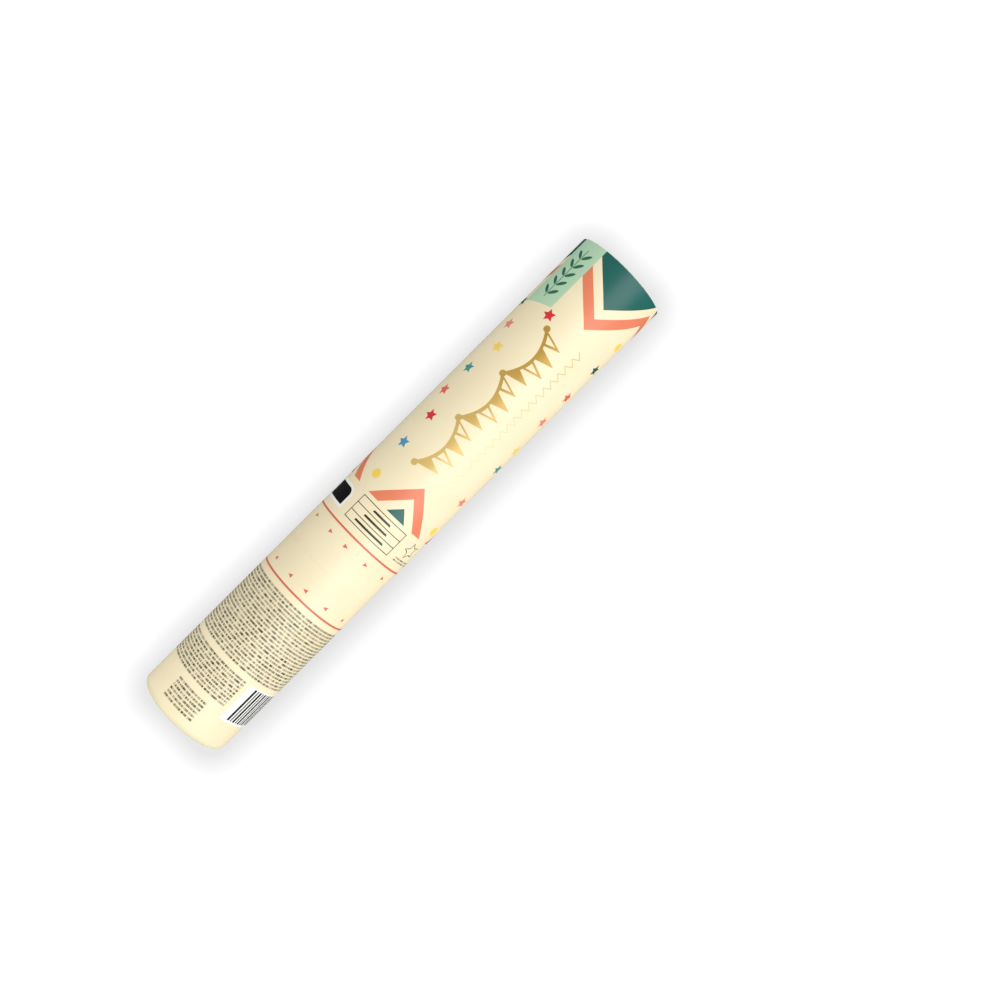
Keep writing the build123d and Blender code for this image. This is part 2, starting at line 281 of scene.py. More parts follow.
sky_fill = 0.745
sky_gloss = 0.09
sky = bpy.data.worlds.new("studio")
bpy.context.scene.world = sky
sky.use_nodes = True
sky_nodes = sky.node_tree.nodes
sky_links = sky.node_tree.links
sky_nodes["Background"].inputs["Color"].default_value = white
sky_nodes["Background"].inputs["Strength"].default_value = sky_fill
seen = sky_nodes.new("ShaderNodeLightPath")
shown = sky_nodes["Background"].outputs[0]
for ray, strength in (("Is Glossy Ray", sky_gloss), ("Is Camera Ray", 1.0)):
    backdrop = sky_nodes.new("ShaderNodeBackground")
    backdrop.inputs["Color"].default_value = white
    backdrop.inputs["Strength"].default_value = strength
    either = sky_nodes.new("ShaderNodeMixShader")
    sky_links.new(seen.outputs[ray], either.inputs[0])
    sky_links.new(shown, either.inputs[1])
    sky_links.new(backdrop.outputs[0], either.inputs[2])
    shown = either.outputs[0]
sky_links.new(shown, sky_nodes["World Output"].inputs["Surface"])


def soft_box(name, place, tilt, size, power, spread=180.0, gloss=True):
    """A square area lamp that shines along its own -Z, hidden from the camera itself.

    The tilt and the spread of its beam are in degrees. A lamp without gloss is a fill, which lights
    the paper but leaves no glare on it.
    """
    lamp = bpy.data.lights.new(name, "AREA")
    lamp.shape = "SQUARE"
    lamp.size = size
    lamp.energy = power
    lamp.spread = np.radians(spread)
    box = bpy.data.objects.new(name, lamp)
    box.location = place
    box.rotation_euler = (np.radians(tilt), 0.0, 0.0)
    box.visible_camera = False
    box.visible_glossy = gloss
    bpy.context.scene.collection.objects.link(box)
    print(name, power, "W")


key_tilt = 34.0
key_distance = 1.3
key_lean = np.radians(key_tilt)
key_place = (0.0, -key_distance * np.sin(key_lean), key_distance * np.cos(key_lean))
side_place = (0.0, -1.0, 0.17)
foot_place = (-0.14, 0.27, 0.25)
soft_box("soft_box", key_place, key_tilt, size=1.15, power=8.3)
soft_box("side_fill", side_place, 82.0, size=0.3, power=0.6, gloss=False)
soft_box("foot_fill", foot_place, -50.0, size=0.06, power=0.003, spread=26.0, gloss=False)

# %% [markdown]
# ## Rolled paper
#
# The print is a sheet of coated paper rolled once round the card tube and lapped over its own start.
# A plain cylinder would hide that lap. So the sheet is a thin section carried along a spiral: it runs
# round the tube, climbs by its own thickness and lies on its first few millimetres. The lap is low on
# the far side, where a packer would hide it. Each point also keeps its place on the flat sheet, so
# the print can be laid out on flat paper and rolls up with it.

# %% Rolled paper
lap_width = 8.0
lap_rise = 3.0
lap_glue = 0.02
arc_steps = 201
along_steps = 25
sheet_start = np.radians(-140.0) * wrap_radius
sheet_end = sheet_start + turn_length + lap_width


def rolled_paper(name, start, end, outside, inside):
    """A lapped paper sleeve from one station to another.

    Along the sheet the angle is arc length over the wrap's radius. The radius is the wrap's radius,
    plus one paper and its glue times a smooth step that rises just before the lap. The section is a
    rectangle: out along the outer face, back along the inner face. The bake map lays the outer face
    out flat, with the inner face and the two lap edges in narrow strips beside it.
    """
    arc = np.linspace(sheet_start, sheet_end, arc_steps)
    climb = np.clip((arc - (sheet_end - lap_width - lap_rise)) / lap_rise, 0.0, 1.0)
    climb = climb * climb * (3.0 - 2.0 * climb)
    radius = wrap_radius + climb * (paper_thickness + lap_glue)
    along = np.linspace(start, end, along_steps)
    loop_station = np.concatenate([along, along[::-1]])
    loop_depth = np.repeat([0.0, paper_thickness], along_steps)
    loop_radius = radius[:, None] - loop_depth[None, :]
    points = on_tube(loop_station[None, :], loop_radius, arc[:, None] / wrap_radius)

    rows, columns = points.shape[:2]
    row, column = grid_corners(rows, columns + 1)
    side = row * columns + column % columns
    first = np.arange(along_steps - 1)
    opposite = columns - 1 - first
    start_edge = np.stack([first, first + 1, opposite - 1, opposite], axis=-1)
    end_edge = (rows - 1) * columns + start_edge[:, ::-1]
    faces = np.concatenate([side, start_edge, end_edge])
    piece = put_in(name, points, faces.tolist())

    sheet = np.zeros((rows, columns, 3))
    sheet[..., 0] = loop_station[None, :]
    sheet[..., 1] = arc[:, None]
    flat = piece.data.attributes.new("sheet", "FLOAT_VECTOR", "POINT")
    flat.data.foreach_set("vector", sheet.ravel())

    across = 0.02 + 0.96 * row / (rows - 1)
    turning = [0, along_steps - 1, along_steps, columns - 1, columns]
    up = np.interp(column, turning, [0.02, 0.86, 0.88, 0.96, 0.98])
    edge_up = np.interp(start_edge % columns, [0, along_steps - 1], [0.02, 0.86])
    edge_up[:, 2:] = edge_up[:, 1::-1]
    edge_across = np.broadcast_to([0.012, 0.012, 0.002, 0.002], edge_up.shape)
    map_across = np.concatenate([across, edge_across, 0.99 - edge_across[:, ::-1] + 0.008])
    map_up = np.concatenate([up, edge_up, edge_up[:, ::-1]])
    bake_map = piece.data.uv_layers.new(name="OFBake")
    bake_map.data.foreach_set("uv", np.stack([map_across, map_up], axis=-1).ravel())

    back = np.ones(len(faces), dtype=np.int32)
    back[: len(side)] = (column[:, 2] >= along_steps).astype(np.int32)
    piece.data.materials.append(outside)
    piece.data.materials.append(inside)
    piece.data.polygons.foreach_set("material_index", back)
    print(name, len(faces), "faces,", round(end - start, 1), "mm along the tube")
    return piece


# %% [markdown]
# ## Print
#
# The paper is printed on flat stock before it is rolled, so every motif has a place along the tube
# and a place across the sheet, both in millimetres. Zero across the sheet is the top of the tube. The
# motifs are the common ones of party goods: zigzags, stars, dots and rings. Each is a distance in the
# shader, which keeps its edge crisp at any size and needs no picture file.

# %% Shapes of the print


class Print(Finish):
    """A finish that knows where it is on the flat sheet, and the distances of printed shapes."""

    def __init__(self, name):
        super().__init__(name)
        self.spot = self.node("ShaderNodeAttribute", {}, attribute_name="sheet").outputs["Vector"]
        split = self.node("ShaderNodeSeparateXYZ", {0: self.spot})
        self.along = split.outputs["X"]
        self.across = split.outputs["Y"]

    def panel(self, along, across):
        """Distance outside a rectangle."""
        return self.sum("MAXIMUM", self.strip(self.along, *along), self.strip(self.across, *across))

    def fold(self, value, centre, half):
        """Distance from the nearest repeat of a centre, the repeats two halves apart."""
        return self.sum("PINGPONG", self.sum("SUBTRACT", value, centre), half)

    def repeat(self, value, centre, period):
        """Signed distance from the nearest repeat of a centre."""
        return self.sum("WRAP", self.sum("SUBTRACT", value, centre), period / 2, -period / 2)

    def disc(self, along, across, radius):
        """Distance outside a round spot."""
        step_along = self.sum("SUBTRACT", self.along, along)
        step_across = self.sum("SUBTRACT", self.across, across)
        return self.sum("SUBTRACT", self.length(step_along, step_across), radius)

    def star(self, along, across, radius, turn, waist=0.45):
        """Distance outside a five-pointed star.

        The angle about the centre is folded to half a point. One straight edge then runs from the tip
        to the waist, and the distance is measured square to it.
        """
        half = np.pi / 5
        lean = np.arctan2(1.0 - waist * np.cos(half), waist * np.sin(half))
        right = self.sum("SUBTRACT", self.along, along)
        up = self.sum("SUBTRACT", self.across, across)
        angle = self.sum("SUBTRACT", self.sum("ARCTAN2", up, right), turn)
        folded = self.sum("PINGPONG", angle, half)
        square = self.sum("COSINE", self.sum("SUBTRACT", folded, lean))
        return self.sum("MULTIPLY_ADD", self.length(right, up), square, -radius * np.cos(lean))

    def ink(self, distance, soft=0.07):
        """Share of ink on a spot: all inside the shape, none outside, with a narrow soft edge."""
        return self.span(distance, soft, -soft)


inks = {
    "stock": shade(251, 237, 199),
    "coral": shade(239, 131, 92),
    "brick": shade(226, 108, 84),
    "pine": shade(0, 102, 94),
    "mint": shade(185, 222, 186),
    "leaf": shade(34, 116, 88),
    "red": shade(226, 30, 46),
    "pink": shade(242, 140, 128),
    "yellow": shade(255, 221, 86),
    "sea": shade(56, 160, 156),
    "rose": shade(240, 104, 82),
    "blue": shade(74, 154, 194),
    "olive": shade(50, 56, 40),
    "black": shade(6, 6, 9),
    "white": shade(250, 249, 245),
    # The two golds are the ends of a painted reflection that runs along the foil.
    "gold_painted_bright": shade(236, 200, 118),
    "gold_painted_dim": shade(203, 160, 62),
}
print(len(inks), "inks")

# %% [markdown]
# ### Zigzags, rings and panels
#
# Two zigzags frame the barrel: one stands at the muzzle with dark points behind it, and one closes the
# star field from below. A zigzag's height is the distance from the nearest repeat across the sheet,
# so one fold makes the whole row. Two rings mark the band where the tube turns, and small arrowheads
# show which way each half goes.

# %% Zigzags, rings and panels
arrow_places = [-51.0, -37.8, -24.5, -10.4, 0.1, 13.2, 27.3, 41.0, 54.0, 67.0, 80.0, 93.0]
arrow_half = 1.18
zigzag_centre = 6.95
muzzle_half = 24.2
lower_half = 22.4


def muzzle_zigzag(art, colour):
    """Coral band and dark points: each lies where the station passes a height plus 0.94 of the fold."""
    rise = art.sum("MULTIPLY_ADD", art.fold(art.across, zigzag_centre, muzzle_half), -0.94, art.along)
    colour = art.blend(art.ink(art.strip(rise, 265.9, 272.8)), colour, inks["coral"])
    return art.blend(art.ink(art.strip(rise, 278.9, 320.0)), colour, inks["pine"])


def lower_zigzag(art, colour):
    """The same fold the other way up, cut off level at its foot, with a small triangle inside."""
    fold = art.fold(art.across, zigzag_centre, lower_half)
    rise = art.sum("MULTIPLY_ADD", fold, 1.06, art.along)
    foot = art.sum("SUBTRACT", 141.5, art.along)
    band = art.sum("MAXIMUM", art.strip(rise, 153.8, 161.0), foot)
    tent = art.sum("MAXIMUM", art.strip(rise, 100.0, 147.6), foot)
    colour = art.blend(art.ink(band), colour, inks["coral"])
    return art.blend(art.ink(tent), colour, inks["pine"])


def turning_rings(art, colour):
    """Two thin rings, and between them two rows of arrowheads.

    An arrowhead is cut by its base and by two slanting sides that close in on its tip. Half the sheet
    has the arrowheads at their own places, and the other half has them evenly spaced.
    """
    rings = art.sum("MINIMUM", art.strip(art.along, 82.6, 83.6), art.strip(art.along, 121.0, 122.0))
    colour = art.blend(art.ink(rings), colour, inks["brick"])
    for station, way, lead in ((115.8, 1.0, 0.0), (88.1, -1.0, 0.9)):
        off = art.sum("ABSOLUTE", art.sum("SUBTRACT", art.along, station))
        for across in arrow_places:
            forward = art.sum("MULTIPLY_ADD", art.across, way, -way * (across + lead))
            sides = art.sum("MULTIPLY_ADD", art.sum("SUBTRACT", forward, arrow_half), 0.46, off)
            head = art.sum("MAXIMUM", sides, art.sum("SUBTRACT", -arrow_half, forward))
            colour = art.blend(art.ink(head), colour, inks["brick"])
    return colour


def mint_strip(art, colour):
    """A mint panel with a slanting foot and a leaf sprig: a stem with pairs of slanting ellipses."""
    foot = art.sum("MULTIPLY_ADD", art.across, 0.22, 265.2)
    above = art.sum("SUBTRACT", foot, art.along)
    strip = art.sum("SMOOTH_MAX", above, art.strip(art.across, -30.2, -11.9), 1.2)
    colour = art.blend(art.ink(strip), colour, inks["mint"])
    beside = art.sum("ABSOLUTE", art.sum("SUBTRACT", art.across, -20.3))
    stem = art.sum("MAXIMUM", art.sum("SUBTRACT", beside, 0.25), art.strip(art.along, 265.0, 295.0))
    step = art.repeat(art.along, 269.0, 5.6)
    out = art.sum("SUBTRACT", beside, 2.7)
    lean = np.radians(48.0)
    long_side = art.sum("MULTIPLY_ADD", step, np.cos(lean), art.sum("MULTIPLY", out, np.sin(lean)))
    short_side = art.sum("MULTIPLY_ADD", out, np.cos(lean), art.sum("MULTIPLY", step, -np.sin(lean)))
    oval = art.length(art.sum("DIVIDE", long_side, 2.9), art.sum("DIVIDE", short_side, 0.95))
    leaf = art.sum("MULTIPLY", art.sum("SUBTRACT", oval, 1.0), 0.95)
    leaf = art.sum("MAXIMUM", leaf, art.strip(art.along, 266.2, 294.2))
    return art.blend(art.ink(art.sum("MINIMUM", stem, leaf)), colour, inks["leaf"])


print("zigzags repeat every", 2 * muzzle_half, "and", 2 * lower_half, "mm")

# %% [markdown]
# ### Stars and dots
#
# Small stars run up the barrel in loose rows, with a few yellow dots between the zigzags. Each star
# has its own place, so that the rows look scattered, and they go on round the back in the same rhythm.

# %% Stars and dots
star_radius = 3.4
star_turn = np.radians(-22.0)
star_places = [
    ("red", 259.4, -9.7), ("pink", 244.4, -24.6), ("yellow", 232.4, -18.1), ("sea", 216.1, -22.5),
    ("rose", 200.7, -23.8), ("red", 187.4, -17.3), ("blue", 169.5, -17.5), ("pine", 257.6, -32.6),
    ("pine", 258.1, 30.9), ("rose", 239.4, 30.4), ("pink", 222.8, 30.4), ("yellow", 204.2, 32.4),
    ("sea", 191.6, 32.8), ("pink", 168.2, 30.1),
    ("blue", 247.0, 50.0), ("yellow", 231.0, 62.0), ("red", 214.0, 53.0), ("sea", 198.0, 66.0),
    ("rose", 181.0, 52.0), ("pine", 166.0, 63.0), ("pink", 252.0, 76.0), ("red", 236.0, 88.0),
    ("blue", 219.0, 79.0), ("rose", 203.0, 91.0), ("yellow", 186.0, 80.0), ("sea", 170.0, 90.0),
    ("pine", 240.0, -46.0), ("rose", 222.0, -42.0), ("yellow", 205.0, -49.0), ("pink", 188.0, -41.0),
    ("sea", 172.0, -48.0),
]
dot_places = [(150.0, -15.6), (148.9, 30.4), (273.6, 30.8), (149.0, 76.0), (273.2, 76.5)]


def star_field(art, colour):
    """Yellow dots, then every star in its own ink."""
    for station, across in dot_places:
        colour = art.blend(art.ink(art.disc(station, across, 2.5)), colour, inks["yellow"])
    for count, (name, station, across) in enumerate(star_places):
        wobble = np.radians(5.0) * np.sin(2.4 * count)
        shape = art.star(station, across, star_radius, star_turn + wobble, 0.5)
        colour = art.blend(art.ink(shape), colour, inks[name])
    return colour


print(len(star_places), "stars and", len(dot_places), "dots")

# %% [markdown]
# ### Small matter
#
# The lower half carries plain ornament: rows of dashes, a ruled box with bars in it, a dark tag, an
# outlined star and a striped panel. Cells of uneven length along each row break it into dashes, shifted
# by the row's own number so that no two rows match, and every short stroke of a dash has its own chance
# of being dark or faint.

# %% Small matter
cells_per_mm = 0.25
strokes_per_mm = 2.0
faintest = 0.25


def dash_rows(art, along, across, rows, height):
    """Share of ink in rows of dashes.

    A spot takes ink within half a row's height of the row's middle and away from the edges of the
    cells along it. The share is then lowered by a chance number for each stroke.
    """
    pitch = (along[1] - along[0]) / rows
    row = art.sum("DIVIDE", art.sum("SUBTRACT", art.along, along[0]), pitch)
    off = art.sum("ABSOLUTE", art.sum("SUBTRACT", art.sum("FRACT", row), 0.5))
    line = art.sum("MULTIPLY_ADD", off, pitch, -height / 2)
    inside = art.sum("MAXIMUM", line, art.panel(along, across))
    number = art.sum("FLOOR", row)
    shifted = art.sum("MULTIPLY_ADD", number, 17.3, art.sum("MULTIPLY", art.across, cells_per_mm))
    kind = {"voronoi_dimensions": "1D", "feature": "DISTANCE_TO_EDGE"}
    edge = art.node("ShaderNodeTexVoronoi", {"W": shifted, "Scale": 1.0}, **kind).outputs[0]
    dash = art.span(edge, 0.03, 0.07)
    stroke = art.sum("FLOOR", art.sum("MULTIPLY", art.across, strokes_per_mm))
    key = art.node("ShaderNodeCombineXYZ", {0: stroke, 1: number}).outputs[0]
    chance = art.node("ShaderNodeTexWhiteNoise", {"Vector": key}, noise_dimensions="2D")
    weight = art.sum("MULTIPLY_ADD", chance.outputs["Value"], 1.0 - faintest, faintest)
    return art.sum("MULTIPLY", art.ink(inside, 0.2), art.sum("MULTIPLY", dash, weight))


def small_matter(art, colour):
    """Dash rows on the base, the ruled box, the dark tag, the outlined star and the striped panel."""
    for along, across, rows, height in (
        ((40.7, 79.6), (-55.0, 90.0), 21, 1.12),
        ((21.7, 38.1), (-52.0, 12.6), 9, 1.12),
        ((6.3, 18.6), (-12.6, 6.4), 6, 1.15),
        ((125.8, 128.8), (21.8, 42.0), 2, 0.8),
    ):
        colour = art.blend(dash_rows(art, along, across, rows, height), colour, inks["olive"])

    box = art.panel((126.0, 139.2), (-11.6, 17.3))
    rule = art.sum("SUBTRACT", art.fold(art.along, 126.0, 2.2), 0.2)
    frame_line = art.sum("SUBTRACT", art.sum("ABSOLUTE", box), 0.2)
    rules = art.sum("MINIMUM", frame_line, art.sum("MAXIMUM", rule, box))
    bar = art.sum("SUBTRACT", art.fold(art.along, 128.2, 2.2), 0.55)
    reach = art.sum("MULTIPLY_ADD", art.along, -0.42, 62.9)
    bar_end = art.sum("SUBTRACT", art.sum("ABSOLUTE", art.sum("SUBTRACT", art.across, 2.7)), reach)
    bar = art.sum("MAXIMUM", art.sum("MAXIMUM", bar, bar_end), box)
    rules = art.sum("MINIMUM", rules, bar)
    outline_star = art.sum("ABSOLUTE", art.star(134.4, 28.0, 4.6, star_turn, 0.5))
    rules = art.sum("MINIMUM", rules, art.sum("SUBTRACT", outline_star, 0.2))
    colour = art.blend(art.ink(rules), colour, inks["olive"])

    tag = art.panel((127.5, 136.6), (-33.0, -17.9))
    round_along = art.sum("MAXIMUM", art.sum("SUBTRACT", art.along, 133.4), 0.0)
    round_across = art.sum("MAXIMUM", art.sum("ADD", art.across, 21.1), 0.0)
    tag = art.sum("MAXIMUM", tag, art.sum("SUBTRACT", art.length(round_along, round_across), 3.2))
    colour = art.blend(art.ink(art.sum("SUBTRACT", tag, 1.4)), colour, inks["white"])
    colour = art.blend(art.ink(tag), colour, inks["black"])

    colour = art.blend(art.ink(art.panel((16.5, 38.1), (15.4, 48.0))), colour, inks["white"])
    wide = art.sum("SUBTRACT", art.fold(art.across, 19.8, 1.9), 0.66)
    thin = art.sum("SUBTRACT", art.fold(art.across, 21.7, 1.9), 0.36)
    stripes = art.sum("MAXIMUM", art.sum("MINIMUM", wide, thin), art.panel((17.7, 37.3), (19.0, 46.6)))
    return art.blend(art.ink(stripes), colour, inks["black"])


print("small matter ready")

# %% [markdown]
# ### Gold bunting
#
# The middle of the barrel carries one large ornament in hot-stamped gold foil: a string of bunting,
# hung in three swags with little flags on it. A swag is a parabola, so the string is the step across
# the sheet from that parabola, shortened where it runs steep. A flag is a triangle that hangs from
# the string, filled and outlined in turn. Foil is part metal, so the same share of ink also drives the
# metal and the gloss.

# %% Gold bunting
bunting_start = 166.5
bunting_end = 254.0
swag_length = (bunting_end - bunting_start) / 3
swag_top = -5.6
swag_sag = 5.6
flag_pitch = swag_length / 4
flag_length = 10.0
flag_half = 3.3
fine_slope = 1.45


def gold_bunting(art):
    """Share of foil: the string, its knots and its flags, and a fine zigzag beside them.

    The string's height at a swag's place p, from minus one to one, is the top plus the sag times one
    minus p squared. A flag's half width falls evenly from the string to its point. The zigzag's height
    is the fold of the station times its slope, and its width is measured square to that slope.
    """
    from_middle = art.repeat(art.along, bunting_start + swag_length / 2, swag_length)
    place = art.sum("DIVIDE", from_middle, swag_length / 2)
    string = art.sum("MULTIPLY_ADD", art.sum("MULTIPLY", place, place), -swag_sag, swag_top + swag_sag)
    below = art.sum("SUBTRACT", art.across, string)
    slope = art.sum("MULTIPLY", place, 4 * swag_sag / swag_length)
    steep = art.sum("INVERSE_SQRT", art.sum("MULTIPLY_ADD", slope, slope, 1.0))
    line = art.sum("MULTIPLY_ADD", art.sum("ABSOLUTE", below), steep, -0.75)
    knot_step = art.fold(art.along, bunting_start, swag_length / 2)
    knot = art.sum("SUBTRACT", art.length(knot_step, art.sum("SUBTRACT", art.across, swag_top)), 1.7)

    taper = art.sum("MULTIPLY_ADD", below, flag_half / flag_length, -flag_half)
    flags = []
    for first in (0.5, 1.5):
        off = art.fold(art.along, bunting_start + first * flag_pitch, flag_pitch)
        flags.append(art.sum("MAXIMUM", art.sum("ADD", off, taper), art.sum("MULTIPLY", below, -1.0)))
    outline = art.sum("SUBTRACT", art.sum("ABSOLUTE", art.sum("ADD", flags[1], 0.55)), 0.55)
    shape = art.sum("MINIMUM", line, art.sum("MINIMUM", flags[0], outline))
    shape = art.sum("MAXIMUM", shape, art.strip(art.along, bunting_start, bunting_end))
    knot = art.sum("MAXIMUM", knot, art.strip(art.along, bunting_start - 2.0, bunting_end + 2.0))
    foil = art.ink(art.sum("MINIMUM", shape, knot))

    climb = art.sum("MULTIPLY_ADD", art.fold(art.along, 171.0, 2.4), -fine_slope, art.across)
    off = art.sum("ABSOLUTE", art.sum("SUBTRACT", climb, 13.2))
    fine = art.sum("MULTIPLY_ADD", off, 1.0 / np.hypot(1.0, fine_slope), -0.24)
    fine = art.sum("MAXIMUM", fine, art.strip(art.along, 171.0, 257.4))
    return foil, art.ink(fine)


print("bunting", bunting_end - bunting_start, "mm long with a flag every", round(flag_pitch, 2))

# %% [markdown]
# ### The printed paper itself
#
# The stock is a warm cream, never quite even, with a satin coat over faint fibre. The cut edge at the
# muzzle is scuffed a little paler. The motifs go on in the order a printer would lay them: zigzags,
# stars, rings, small matter, the strip, and the foil last of all.

# %% Printed paper
art = Print("printed_paper")
fibre = art.noise(art.place(), 900.0, 4.0)
cloud = art.noise(art.place(), 60.0, 2.0)
paper_colour = art.blend(art.span(cloud, 0.3, 0.7), inks["stock"], shade(249, 234, 194))
for layer in (muzzle_zigzag, lower_zigzag, star_field, turning_rings, small_matter, mint_strip):
    paper_colour = layer(art, paper_colour)
foil, fine_line = gold_bunting(art)
# Painted reflection: the foil's own gold is painted bright at the base end and dim at the muzzle end,
# as a foil catching the light would look.
gold = art.blend(art.span(art.along, bunting_start, bunting_end), inks["gold_painted_bright"], inks["gold_painted_dim"])
fine_share = art.span(art.along, bunting_start, bunting_end, 0.12, 0.6)
paper_colour = art.blend(art.sum("MULTIPLY", fine_line, fine_share), paper_colour, gold)
paper_colour = art.blend(foil, paper_colour, gold)
end_distance = art.sum("SUBTRACT", tube_length, art.along)
scuff = art.span(art.sum("MULTIPLY_ADD", fibre, -0.3, end_distance), 0.1, -0.15)
paper_colour = art.blend(art.sum("MULTIPLY", scuff, 0.7), paper_colour, inks["white"])
coat = art.span(fibre, 0.3, 0.7, 0.37, 0.43)
art.set(
    Base_Color=paper_colour,
    Metallic=art.sum("MULTIPLY", foil, 0.2),
    Roughness=art.sum("MULTIPLY_ADD", foil, -0.06, coat),
    Specular_IOR_Level=0.8,
    Normal=art.relief(fibre, 0.12, 0.00004),
)

back = Finish("paper_back")
back_fibre = back.noise(back.place(), 700.0, 3.0)
back.set(
    Base_Color=back.blend(back.span(back_fibre, 0.3, 0.7), shade(236, 228, 208), shade(250, 246, 234)),
    Roughness=back.span(back_fibre, 0.3, 0.7, 0.8, 0.95),
)

seam_hair = 0.012
paper_faces = art.material, back.material
barrel_paper = rolled_paper("barrel_paper", seam_station + seam_hair, tube_length, *paper_faces)
base_paper = rolled_paper("base_paper", flange_end, seam_station - seam_hair, *paper_faces)
for piece, body, node in ((barrel_paper, "barrel", "barrel_wrap"), (base_paper, "base", "base_wrap")):
    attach(piece, body)
    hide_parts(node)
print(len(art.tree.nodes), "nodes in the print")

# %% [markdown]
# ## Muzzle lid
#
# The muzzle is shut by a pressed lid of white board that the stars push out. It is a turned shape: one
# profile from the middle of its face, round its rim, down the skirt and back inside, carried round
# the tube's axis. A pressed ring stiffens its face and every edge is rounded, as board folds.

# %% Turned shapes


def rounded(corners, bend, steps=5):
    """Profile with rounded corners.

    Each corner becomes a curve between two points a bend's length before and after it: the weights
    are one minus t squared, twice t times one minus t, and t squared.
    """
    corners = np.array(corners, dtype=float)
    before, corner, after = corners[:-2], corners[1:-1], corners[2:]
    to_before = before - corner
    to_after = after - corner
    reach_before = np.linalg.norm(to_before, axis=1, keepdims=True)
    reach_after = np.linalg.norm(to_after, axis=1, keepdims=True)
    start = corner + to_before / reach_before * np.minimum(bend, reach_before / 2)
    end = corner + to_after / reach_after * np.minimum(bend, reach_after / 2)
    t = np.linspace(0.0, 1.0, steps)[None, :, None]
    curve = (1 - t) ** 2 * start[:, None] + 2 * t * (1 - t) * corner[:, None] + t**2 * end[:, None]
    return np.concatenate([corners[:1], curve.reshape(-1, 2), corners[-1:]])


def turned(name, profile, around=96):
    """A profile of stations and radii carried round the tube's axis, its two ends closed on the axis.

    Points are the profile's stations and radii at even angles. The first and last profile points lie
    on the axis, so each is one point with a fan of triangles.
    """
    angle = np.arange(around) * 2 * np.pi / around
    rings = on_tube(profile[1:-1, 0][:, None], profile[1:-1, 1][:, None], angle[None, :])
    poles = on_tube(profile[[0, -1], 0], profile[[0, -1], 1], 0.0)
    rows = len(profile) - 2
    row, column = grid_corners(rows, around + 1)
    sides = (row * around + column % around).tolist()
    this = np.arange(around)
    following = (this + 1) % around
    first_fan = np.stack([np.full(around, rows * around), this, following], axis=-1)
    last = (rows - 1) * around
    last_fan = np.stack([np.full(around, rows * around + 1), last + following, last + this], axis=-1)
    points = np.concatenate([rings.reshape(-1, 3), poles])
    return put_in(name, points, sides + first_fan.tolist() + last_fan.tolist(), 50.0)


# %% Muzzle lid
lid_face = 297.2
lid_back = 296.0
lid_foot = 287.2
lid_radius = 22.7
lid_wall = 1.2
press_depth = 0.35
lid_corners = [
    (lid_back, 0.0), (lid_back, 14.6), (lid_back - press_depth, 15.4), (lid_back - press_depth, 17.6),
    (lid_back, 18.4), (lid_back, lid_radius - lid_wall), (lid_foot, lid_radius - lid_wall),
    (lid_foot, lid_radius), (lid_face, lid_radius), (lid_face, 18.8), (lid_face - press_depth, 18.0),
    (lid_face - press_depth, 15.0), (lid_face, 14.2), (lid_face, 0.0),
]
muzzle_lid = turned("muzzle_lid", rounded(lid_corners, 0.5))
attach(muzzle_lid, "cap")
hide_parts("muzzle_cap")
print("lid with", len(muzzle_lid.data.polygons), "faces")

# %% [markdown]
# ## Board
#
# The tube is wound from plies of grey-brown board, and the plies show as rings on its cut ends. The
# lid and the wad are pressed from board too. One finish serves all three: fibres from fine noise, and
# ply rings from the distance to the tube's axis.

# %% Board finishes


def from_axis(finish):
    """Distance from the tube's axis in millimetres, from the object's own frame."""
    shifted = finish.steps("ADD", finish.place(), (0.0, 0.0, -wrap_radius * MM))
    flat = finish.steps("MULTIPLY", shifted, (0.0, 1 / MM, 1 / MM))
    return finish.node("ShaderNodeVectorMath", {0: flat}, operation="LENGTH").outputs["Value"]


def board(name, dark, light, ply, grain):
    """Matte board: fibre noise between two shades, and a darker glue line at every ply."""
    finish = Finish(name)
    fibres = finish.noise(finish.place(), grain, 4.0)
    colour = finish.blend(finish.span(fibres, 0.25, 0.75), dark, light)
    wander = finish.sum("MULTIPLY_ADD", finish.noise(finish.place(), 150.0), 0.1, from_axis(finish))
    line = finish.sum("PINGPONG", wander, ply / 2)
    colour = finish.blend(finish.span(line, 0.08, 0.0, 0.0, 0.5), colour, dark)
    finish.set(Base_Color=colour, Roughness=finish.span(fibres, 0.3, 0.7, 0.82, 0.95))
    finish.set(Specular_IOR_Level=0.25, Normal=finish.relief(fibres, 0.35, 0.0001))
    return finish.material


tube_board = board("tube_board", shade(158, 131, 98), shade(186, 160, 124), 0.4, 1800.0)
grey_board = board("grey_board", shade(126, 120, 111), shade(154, 148, 138), 1.0, 1400.0)
white_board = board("white_board", shade(236, 231, 219), shade(246, 243, 234), 6.0, 1600.0)
muzzle_lid.data.materials.append(white_board)
print("board finishes ready")

# %% [markdown]
# ## Moulded plastic, metal, rubber and fibre
#
# Inside the tube sit moulded parts, a steel cartridge, springs and seals. They are seldom seen, but a
# part that someone takes apart should look right. Plastic has a soft mould texture, drawn steel has
# fine lines along the draw, and rubber is dull with a bloom of dust.

# %% Inner finishes


def moulded(name, dark, light, rough):
    """Moulded plastic: faint flow clouds in the colour and a fine spark-eroded texture."""
    finish = Finish(name)
    flow = finish.noise(finish.place(), 70.0, 2.0)
    texture = finish.noise(finish.place(), 2600.0, 2.0)
    finish.set(Base_Color=finish.blend(finish.span(flow, 0.3, 0.7), dark, light))
    finish.set(Roughness=finish.span(texture, 0.3, 0.7, rough, rough + 0.1), Specular_IOR_Level=0.45)
    finish.set(Normal=finish.relief(texture, 0.15, 0.00005))
    return finish.material


